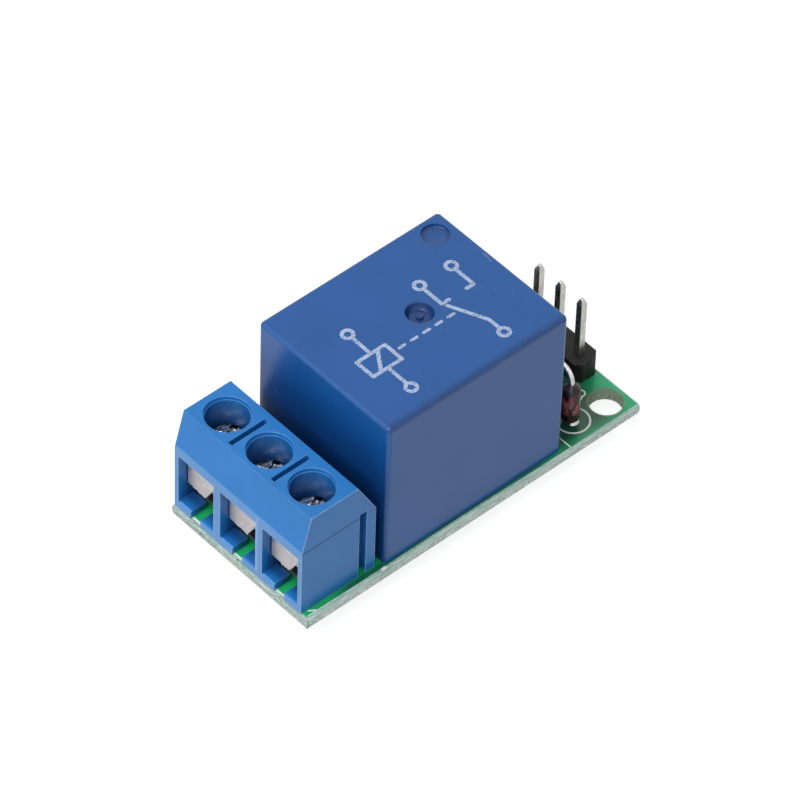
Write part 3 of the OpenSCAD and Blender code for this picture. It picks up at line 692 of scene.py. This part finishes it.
def spun(bm, profile, centre, steps=48):
    """Turns a profile of (radius, height) points about a vertical axis at the centre."""
    verts = [bm.verts.new((centre[0] + r, centre[1], z)) for r, z in profile]
    edges = [bm.edges.new(pair) for pair in zip(verts, verts[1:])]
    bmesh.ops.spin(bm, geom=verts + edges, cent=(*centre, 0), axis=(0, 0, 1), angle=2 * math.pi,
                   steps=steps, use_merge=True)
    bmesh.ops.remove_doubles(bm, verts=bm.verts, dist=WELD)
    bmesh.ops.recalc_face_normals(bm, faces=bm.faces)


CASE_WALL, CASE_ROOF = 0.8, 1.0
CORNER_R, ROOF_EDGE_R = 0.40, 0.36
roof_z = relay_high.z
case = bmesh.new()
bmesh.ops.create_cube(case, size=1, matrix=boxed(relay_low, relay_high))
upright_edges = [e for e in case.edges if abs(e.verts[0].co.z - e.verts[1].co.z) > 1]
bmesh.ops.bevel(case, geom=upright_edges, offset=CORNER_R, segments=6, profile=0.5, affect="EDGES",
                material=-1)
roof_edges = [e for e in case.edges if min(v.co.z for v in e.verts) > roof_z - 0.01]
bmesh.ops.bevel(case, geom=roof_edges, offset=ROOF_EDGE_R, segments=5, profile=0.5, affect="EDGES",
                material=-1)
cavity = bmesh.new()
wall = Vector((CASE_WALL, CASE_WALL, 0))
bmesh.ops.create_cube(cavity, size=1, matrix=boxed(relay_low + wall - Vector((0, 0, 1)),
                                                   relay_high - wall - Vector((0, 0, CASE_ROOF))))
case = carved(case, cavity)
EJECTOR_AT, EJECTOR_R, EJECTOR_SINK, EJECTOR_SLANT = (7.72, 5.92), 1.2, 0.32, 0.06
GATE_AT, GATE_R, GATE_SINK, GATE_SLANT = (0.97, 0.28), 1.22, 0.64, 0.25
RIM = 0.05
for centre, radius, sink, slant in ((EJECTOR_AT, EJECTOR_R, EJECTOR_SINK, EJECTOR_SLANT),
                                    (GATE_AT, GATE_R, GATE_SINK, GATE_SLANT)):
    cutter = bmesh.new()
    spun(cutter, [(0, roof_z - sink), (radius - slant - 0.12, roof_z - sink),
                  (radius - slant, roof_z - sink * 0.8), (radius - slant / 3, roof_z - sink * 0.3),
                  (radius, roof_z), (radius + 0.05, roof_z + 0.5), (0, roof_z + 0.5)], centre, steps=64)
    case = carved(case, cutter)
    rim = [e for e in case.edges if e.is_manifold and e.calc_face_angle(0) > 0.3
           and all(abs((v.co.xy - Vector(centre)).length - radius) < 0.02 for v in e.verts)]
    bmesh.ops.bevel(case, geom=rim, offset=RIM, segments=2, profile=0.5, affect="EDGES", material=-1)
NIB_R, NIB_H, NIB_TEAR = 0.34, 0.2, 0.05
nib = bmesh.new()
gate_floor = roof_z - GATE_SINK
spun(nib, [(0, gate_floor - 0.05), (NIB_R + 0.06, gate_floor - 0.05), (NIB_R, gate_floor + 0.04),
           (NIB_R - 0.04, gate_floor + NIB_H), (NIB_R * 0.6, gate_floor + NIB_H * 0.9),
           (NIB_R * 0.35, gate_floor + NIB_H * 0.6), (0, gate_floor + NIB_H * 0.7)], GATE_AT, steps=24)
for vert in nib.verts:
    if vert.co.z > gate_floor + NIB_H / 2:
        vert.co += noise.noise_vector(vert.co * 6.0) * NIB_TEAR
nib_mesh = bpy.data.meshes.new("nib")
nib.to_mesh(nib_mesh)
nib.free()
case.from_mesh(nib_mesh)
bpy.data.meshes.remove(nib_mesh)


def round_mask(tree, x, y, centre, inner, outer):
    """1 within the inner radius of an upright axis, 0 beyond the outer one."""
    squares = [maths(tree, "POWER", maths(tree, "SUBTRACT", value, place * MM), 2.0)
               for value, place in zip((x, y), centre)]
    return between(tree, maths(tree, "ADD", *squares), (outer * MM) ** 2, (inner * MM) ** 2)


def dusty_shaded_blue(tree, at):
    """Case colour with dust and short scratches; painted shade deeper in the sinks and low on the front
    face, a painted dark reflection by one roof edge and a painted highlight on one upright corner.
    """
    x, y, z = add(tree, "SeparateXYZ", {"Vector": at}).outputs
    under = between_mm(tree, z, roof_z - 0.02, roof_z - 0.2)
    # Painted dark reflection: a darker band on the roof's rounded near edge.
    roof_edge_reflection = all_of(tree, between_mm(tree, y, relay_low.y + 0.75, relay_low.y + 0.3),
                       between_mm(tree, z, roof_z - 0.45, roof_z - 0.15), 0.6)
    # Painted shade: the front face darkens toward its foot, beside the terminal block.
    front_shade = all_of(tree, between_mm(tree, x, relay_low.x + 0.25, relay_low.x + 0.05),
                   between_mm(tree, z, roof_z - 1.6, roof_z - 8.0), 0.9)
    case_shade = maths(tree, "MAXIMUM", roof_edge_reflection, front_shade)
    # Painted shade inside the ejector mark and the gate sink; the ejector's lit middle is left partly out.
    for centre, radius, lit in ((EJECTOR_AT, EJECTOR_R, 0.7), (GATE_AT, GATE_R, 0.0)):
        inside = round_mask(tree, x, y, centre, radius - 0.1, radius + 0.1)
        middle = round_mask(tree, x, y, centre, radius - 0.4, radius - 0.2)
        inside = maths(tree, "SUBTRACT", inside, all_of(tree, middle, lit))
        case_shade = maths(tree, "MAXIMUM", case_shade, all_of(tree, inside, under))
    blue = blended(tree, case_shade, (0.007, 0.090, 0.322), (0.004, 0.036, 0.150))
    # Painted highlight: a pale line down the far upright corner of the near face.
    corner_highlight = all_of(tree, between_mm(tree, x, relay_high.x - 0.20, relay_high.x - 0.08),
                    between_mm(tree, y, relay_low.y + 0.36, relay_low.y + 0.2))
    blue = blended(tree, corner_highlight, blue, (0.24, 0.32, 0.50))
    # A thin, broken darker line just below the near roof edge.
    broken_dark_line = all_of(tree, between_mm(tree, z, roof_z - 0.54, roof_z - 0.46),
                  between_mm(tree, z, roof_z - 0.26, roof_z - 0.34),
                  between_mm(tree, y, relay_low.y + 0.25, relay_low.y + 0.15),
                  spots(tree, 900.0, 0.2, 0.55, at), 0.8)
    blue = blended(tree, broken_dark_line, blue, (0.002, 0.030, 0.140))
    specks = spots(tree, 2600.0, 0.72, 0.78, at)
    scratches = spots(tree, 1500.0, 0.73, 0.77, at, stretch=(1, 0.25, 1))
    dust = all_of(tree, maths(tree, "MAXIMUM", specks, scratches), 0.5)
    return blended(tree, dust, blue, (0.16, 0.30, 0.58))


case_blue = moulded_finish("case_plastic", dusty_shaded_blue, (0.09, 0.24, 0.52), 0.27, grain=9000.0,
                           depth=0.0000001, wear=0.15)
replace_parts(fitted(case, "relay_cap", "module", (case_blue,), sharp=30), "relay_case")

# ---- Print on the relay ----
# A plain wiring symbol in pale pad-printed ink with pinholes:
# a coil between two terminals, linked to a changeover contact.

STROKE, TERMINAL_R = 0.34, 0.46
SUNK_INK = 0.004
roof = roof_z + INK / 2 - SUNK_INK
over = roof + 0.004
top = roof + 0.006
ink = bmesh.new()


def terminal(contact, side):
    """A small printed ring that ends a lead, on this side of it along Y."""
    inked_ring(ink, contact + Vector((0, side * TERMINAL_R)), TERMINAL_R, STROKE, top, segments=32)


COIL_AT, COIL_HALF, COIL_LEAD = Vector((-5.0, -1.6)), Vector((1.5, 1.0)), 2.3
corners = [COIL_AT + Vector((x * COIL_HALF.x, y * COIL_HALF.y))
           for x, y in ((-1, -1), (1, -1), (1, 1), (-1, 1), (-1, -1))]
inked_path(ink, corners, STROKE, roof)
COIL_SLASH = Vector((0.7, 1.0))
inked_line(ink, COIL_AT - COIL_SLASH, COIL_AT + COIL_SLASH, STROKE, roof + 0.003)
for side in (1, -1):
    near = COIL_AT + Vector((0, side * COIL_HALF.y))
    far = near + Vector((0, side * COIL_LEAD))
    inked_line(ink, near, far, STROKE, over)
    terminal(far, side)

CONTACT_AT, CONTACT_LEAD, STOP_LEAD = Vector((4.6, -3.9)), 1.3, 2.2
BLADE = Vector((-1.5, 3.3))
inked_path(ink, (CONTACT_AT - Vector((0, CONTACT_LEAD)), CONTACT_AT, CONTACT_AT + BLADE), STROKE, roof)
terminal(CONTACT_AT - Vector((0, CONTACT_LEAD)), -1)
for side, turn in ((-1.7, 0.75), (1.7, -0.75)):
    stop = CONTACT_AT + Vector((side, 3.7))
    inked_path(ink, (stop + Vector((turn, 0)), stop, stop + Vector((0, STOP_LEAD))), STROKE, roof)
    terminal(stop + Vector((0, STOP_LEAD)), 1)

DASH, DASH_STEP, DASHES = 0.6, 1.3, 5
for count in range(DASHES):
    start = -2.9 + count * DASH_STEP
    inked_line(ink, (start, COIL_AT.y), (start + DASH, COIL_AT.y), STROKE * 0.8, roof)
pale = printed_ink("pale_ink", (0.46, 0.55, 0.76), (0.03, 0.12, 0.33), 0.55)
fitted(ink, "relay_symbol", "module", (pale,))

# ---- Relay works ----
# Inside the cap: base, bobbin and winding, iron circuit, spring and contact strips.
# All keep their CAD shape; the bronze strips are tinned where they go down through the board.

dress(case_blue, "relay_base")
dress(moulded_finish("bobbin_plastic", (0.72, 0.68, 0.58), (0.85, 0.82, 0.75), 0.45), "coil_bobbin")
iron = plated_finish("relay_iron", (0.46, 0.46, 0.47), (0.34, 0.34, 0.35), 0.35)
dress(iron, "iron_core", "iron_yoke", "armature")
BRONZE, DULL_BRONZE = (0.72, 0.50, 0.26), (0.58, 0.38, 0.18)
dress(plated_finish("spring_bronze", BRONZE, DULL_BRONZE, 0.28), "contact_spring")


def tinned_below(bronze, tin):
    """A colour that is bronze above the relay's base and tin below it."""
    def colour(tree, at):
        height = add(tree, "SeparateXYZ", {"Vector": at}).outputs[2]
        return blended(tree, between_mm(tree, height, BOARD_TOP + 0.4, BOARD_TOP + 0.2), bronze, tin)
    return colour


tailed = plated_finish("tinned_bronze", tinned_below(BRONZE, (0.74, 0.73, 0.70)),
                       tinned_below(DULL_BRONZE, (0.58, 0.57, 0.55)), 0.28)
dress(tailed, "common_strip", "open_strip", "closed_strip")
silver = plated_finish("contact_silver", (0.82, 0.81, 0.78), (0.62, 0.61, 0.58), 0.2)
dress(silver, "moving_contact", "open_contact", "closed_contact")
WIRE_PITCH = 0.12


def wound_wire():
    """Enamelled copper wound in close turns round a vertical axis."""
    finish, tree, shader, at = new_finish("copper_wire", Roughness=0.3, Coat_Weight=0.6)
    height = add(tree, "SeparateXYZ", {"Vector": at}).outputs[2]
    ridge = maths(tree, "SINE", maths(tree, "MULTIPLY", height, 2 * math.pi / (WIRE_PITCH * MM)))
    drift = spots(tree, 700.0, 0.3, 0.7, at)
    link_all(tree, shader, Base_Color=blended(tree, drift, (0.52, 0.19, 0.07), (0.66, 0.27, 0.10)),
             Normal=bumped(tree, ridge, 0.00003, 0.8))
    return finish


dress(wound_wire(), "coil_winding")

# ---- Diode ----
# Glass bead that stands on end over its pad: its lower lead goes straight down through the board,
# and its upper lead bends over beside it.

lead_tin = plated_finish("tinned_lead", (0.78, 0.77, 0.75), (0.60, 0.59, 0.58), 0.20, clouds=1800.0)
dress(lead_tin, "diode_lead_low", "diode_lead_high", "resistor_lead_low", "resistor_lead_high",
      "coil_pin_1", "coil_pin_2", "transistor_leg_1", "transistor_leg_2", "transistor_leg_3")


def banded(tree, height, low, high, stops, smooth=True):
    """Colours in bands up a piece, from its low end to its high end."""
    bands = add(tree, "ValToRGB", {"Fac": between(tree, height, low * MM, high * MM)})
    bands.color_ramp.interpolation = "LINEAR" if smooth else "CONSTANT"
    element = bands.color_ramp.elements
    while len(element) < len(stops):
        element.new(0.5)
    for made, (place, colour) in zip(element, stops):
        made.position, made.color = place, (*colour, 1)
    return bands.outputs[0]


def amber_glass():
    """Red-brown glass bead, black at the marked end and grey where the lead is sealed in."""
    finish, tree, shader, at = new_finish("diode_glass", Roughness=0.22, Specular_IOR_Level=0.3)
    height = add(tree, "SeparateXYZ", {"Vector": at}).outputs[2]
    wobble = add(tree, "TexNoise", {"Vector": at, "Scale": 1500.0}).outputs[0]
    height = maths(tree, "MULTIPLY_ADD", wobble, 0.3 * MM, height)
    black, red, pale_red = (0.006, 0.005, 0.006), (0.260, 0.044, 0.050), (0.32, 0.12, 0.125)
    dark_grey, grey = (0.035, 0.034, 0.036), (0.06, 0.06, 0.062)
    colour = banded(tree, height, diode_foot + 0.15, diode_head + 0.15,
                    ((0.0, black), (0.25, black), (0.31, red), (0.55, pale_red), (0.84, red),
                     (0.89, dark_grey), (1.0, grey)))
    streak = spots(tree, 1900.0, 0.47, 0.58, at, stretch=(1, 1, 0.45))
    link_all(tree, shader, Base_Color=blended(tree, streak, colour, (0.030, 0.008, 0.010)))
    return finish


diode_h = diode_head - diode_foot
bead = bmesh.new()
outline = ((0, 0), (0.58, 0), (0.86, 0.02), (0.98, 0.06), (1, 0.12), (1, 0.86), (0.96, 0.93), (0.80, 0.985),
           (0.50, 1.02), (0.36, 1.06), (0.0, 1.06))
spun(bead, [(r * diode_r, diode_foot + z * diode_h) for r, z in outline], diode_at, steps=40)
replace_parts(fitted(bead, "diode_bead", "module", (amber_glass(),), sharp=60), "diode_glass")
pad = bmesh.new()
PAD_R = 0.60
pad_at = diode_at + Vector((0.25, -0.09))
spun(pad, [(0, BOARD_TOP - 0.05), (PAD_R, BOARD_TOP - 0.05), (PAD_R, BOARD_TOP + 0.03),
           (PAD_R - 0.12, BOARD_TOP + 0.1), (0.45, BOARD_TOP + 0.2), (0.3, BOARD_TOP + 0.35),
           (0, BOARD_TOP + 0.35)], pad_at)
fitted(pad, "diode_pad", "module", (solder,), sharp=60)

# ---- Resistor ----
# Beige lacquer over a ceramic rod with pressed-on end caps, marked with four painted bands.
# It stands on end behind the relay, and its two tinned leads go down through the board.

resistor_at, resistor_r, resistor_foot, resistor_head = upright("resistor_body")


def banded_lacquer():
    """Beige lacquer with painted bands and a faint haze."""
    finish, tree, shader, at = new_finish("resistor_coat", Roughness=0.3, Coat_Weight=0.4)
    height = add(tree, "SeparateXYZ", {"Vector": at}).outputs[2]
    coat, gold, red = (0.62, 0.44, 0.26), (0.55, 0.36, 0.06), (0.45, 0.03, 0.02)
    black, brown = (0.02, 0.02, 0.02), (0.12, 0.05, 0.02)
    colour = banded(tree, height, resistor_foot, resistor_head,
                    ((0.0, coat), (0.12, gold), (0.22, coat), (0.40, red), (0.49, coat), (0.58, black),
                     (0.67, coat), (0.78, brown), (0.88, coat)), smooth=False)
    haze = spots(tree, 1500.0, 0.45, 0.7, at)
    link_all(tree, shader, Base_Color=blended(tree, haze, colour, (0.50, 0.36, 0.22)))
    return finish


resistor_h = resistor_head - resistor_foot
half = [(0, 0), (0.66, 0), (0.88, 0.03), (1, 0.09), (1, 0.21), (0.91, 0.27), (0.84, 0.34)]
outline = half + [(r, 1 - z) for r, z in reversed(half)]
rod = bmesh.new()
spun(rod, [(r * resistor_r, resistor_foot + z * resistor_h) for r, z in outline], resistor_at)
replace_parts(fitted(rod, "resistor", "module", (banded_lacquer(),), sharp=60), "resistor_body")

# ---- Transistor ----
# Small black epoxy body with one flat face, on three legs.
# It is moulded round its leads, so its edges are soft.

epoxy = moulded_finish("transistor_plastic", (0.020, 0.020, 0.022), (0.09, 0.09, 0.10), 0.42,
                       grain=6000.0, depth=0.000006)
package = welded("transistor_body")
rounded_edges(package, 0.15, turn=25, segments=3)
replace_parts(fitted(package, "transistor", "module", (epoxy,), sharp=40), "transistor_body")

# ---- Pin header ----
# Three square tinned pins pressed into a black bar with notches between the ways.
# The bar is snapped from a longer strip, so its ends are rough.

BAR_STEP, SNAP = 0.25, 0.09
bar_black = moulded_finish("header_plastic", (0.010, 0.0095, 0.0105), (0.07, 0.07, 0.075), 0.50,
                           grain=4200.0, depth=0.000012, Specular_IOR_Level=0.3)
bar = welded("header_body")
rounded_edges(bar, 0.06)
bar_low, bar_high = (Vector(c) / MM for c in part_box("header_body"))
sliced(bar, 0, spaced(bar_low.x, bar_high.x, BAR_STEP))
sliced(bar, 2, spaced(bar_low.z, bar_high.z, BAR_STEP))
for vert in bar.verts:
    if min(vert.co.y - bar_low.y, bar_high.y - vert.co.y) < 0.02:
        vert.co.y += noise.noise(vert.co * 2.5) * SNAP
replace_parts(fitted(bar, "header_bar", "module", (bar_black,), sharp=40), "header_body")
pin_tin = plated_finish("tinned_pin", (0.66, 0.65, 0.62), (0.54, 0.53, 0.50), 0.22, clouds=1400.0,
                        depth=0.000006)
for way in (1, 2, 3):
    pin = welded(f"header_pin_{way}")
    rounded_edges(pin, 0.05, turn=15)
    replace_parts(fitted(pin, f"square_pin_{way}", "module", (pin_tin,), sharp=40), f"header_pin_{way}")

# ---- Table, light and camera ----
# The part stands on a plain white sheet under one soft lamp, seen from its terminal end.
# The sheet and the sky look white by themselves, and throw less light than they show.

SHEET_HALF = 1.5
floor_mesh = bpy.data.meshes.new("sheet")
sheet = bmesh.new()
bmesh.ops.create_grid(sheet, x_segments=1, y_segments=1, size=SHEET_HALF)
sheet.to_mesh(floor_mesh)
sheet.free()
floor = bpy.data.objects.new("sheet", floor_mesh)
bpy.context.scene.collection.objects.link(floor)


def seen_directly(tree):
    """1 where the camera sees the surface by itself, in a mirror or through glass."""
    path = add(tree, "LightPath")
    direct = maths(tree, "MAXIMUM", path.outputs["Is Camera Ray"], path.outputs["Is Glossy Ray"])
    return maths(tree, "MAXIMUM", direct, path.outputs["Is Transmission Ray"])


GLOW, MIRRORED, SHADOWED, FILL = 0.86, 0.60, 0.27, 0.21
paper, tree, shader, _ = new_finish("paper", Roughness=1.0, Specular_IOR_Level=0.0)
shader.inputs["Base Color"].default_value = (0.80, 0.80, 0.80, 1)
in_view = add(tree, "LightPath").outputs["Is Camera Ray"]
glow = maths(tree, "MULTIPLY_ADD", in_view, GLOW - MIRRORED, MIRRORED)
glow = add(tree, "Emission", {"Color": (1, 1, 1, 1), "Strength": glow})
shadowed = add(tree, "BsdfDiffuse", {"Color": (SHADOWED, SHADOWED, SHADOWED, 1)})
seen = add(tree, "AddShader", {0: glow.outputs[0], 1: shadowed.outputs[0]})
pick = add(tree, "MixShader", {0: seen_directly(tree), 1: shader.outputs[0], 2: seen.outputs[0]})
tree.links.new(pick.outputs[0], tree.nodes["Material Output"].inputs["Surface"])
floor_mesh.materials.append(paper)

world = bpy.data.worlds.new("studio")
bpy.context.scene.world = world
world.use_nodes = True
sky = world.node_tree
white = add(sky, "Background", {"Color": (1, 1, 1, 1), "Strength": 1.0})
fill = add(sky, "Background", {"Color": (0.97, 0.98, 1, 1), "Strength": FILL})
pick = add(sky, "MixShader", {0: seen_directly(sky), 1: fill.outputs[0], 2: white.outputs[0]})
sky.links.new(pick.outputs[0], sky.nodes["World Output"].inputs["Surface"])


MIDDLE = Vector((0, 0, 0.008))


def soft_lamp(name, place, size, power):
    """A square lamp that faces the middle of the part."""
    lamp = bpy.data.lights.new(name, "AREA")
    lamp.size, lamp.energy = size, power
    fitting = bpy.data.objects.new(name, lamp)
    fitting.location = place
    fitting.rotation_euler = (MIDDLE - Vector(place)).to_track_quat("-Z", "Y").to_euler()
    bpy.context.scene.collection.objects.link(fitting)


soft_lamp("key", (-0.33, -0.04, 0.55), 0.60, 4.5)

lens = bpy.data.cameras.new("camera")
lens.lens = 302.65
lens.sensor_width = 36
camera = bpy.data.objects.new("camera", lens)
camera.location = (-0.253052, -0.267446, 0.403015)
camera.rotation_euler = [math.radians(a) for a in (43.0595, -1.3919, -41.8016)]
bpy.context.scene.collection.objects.link(camera)
bpy.context.scene.camera = camera
bpy.context.scene.view_settings.view_transform = "Standard"
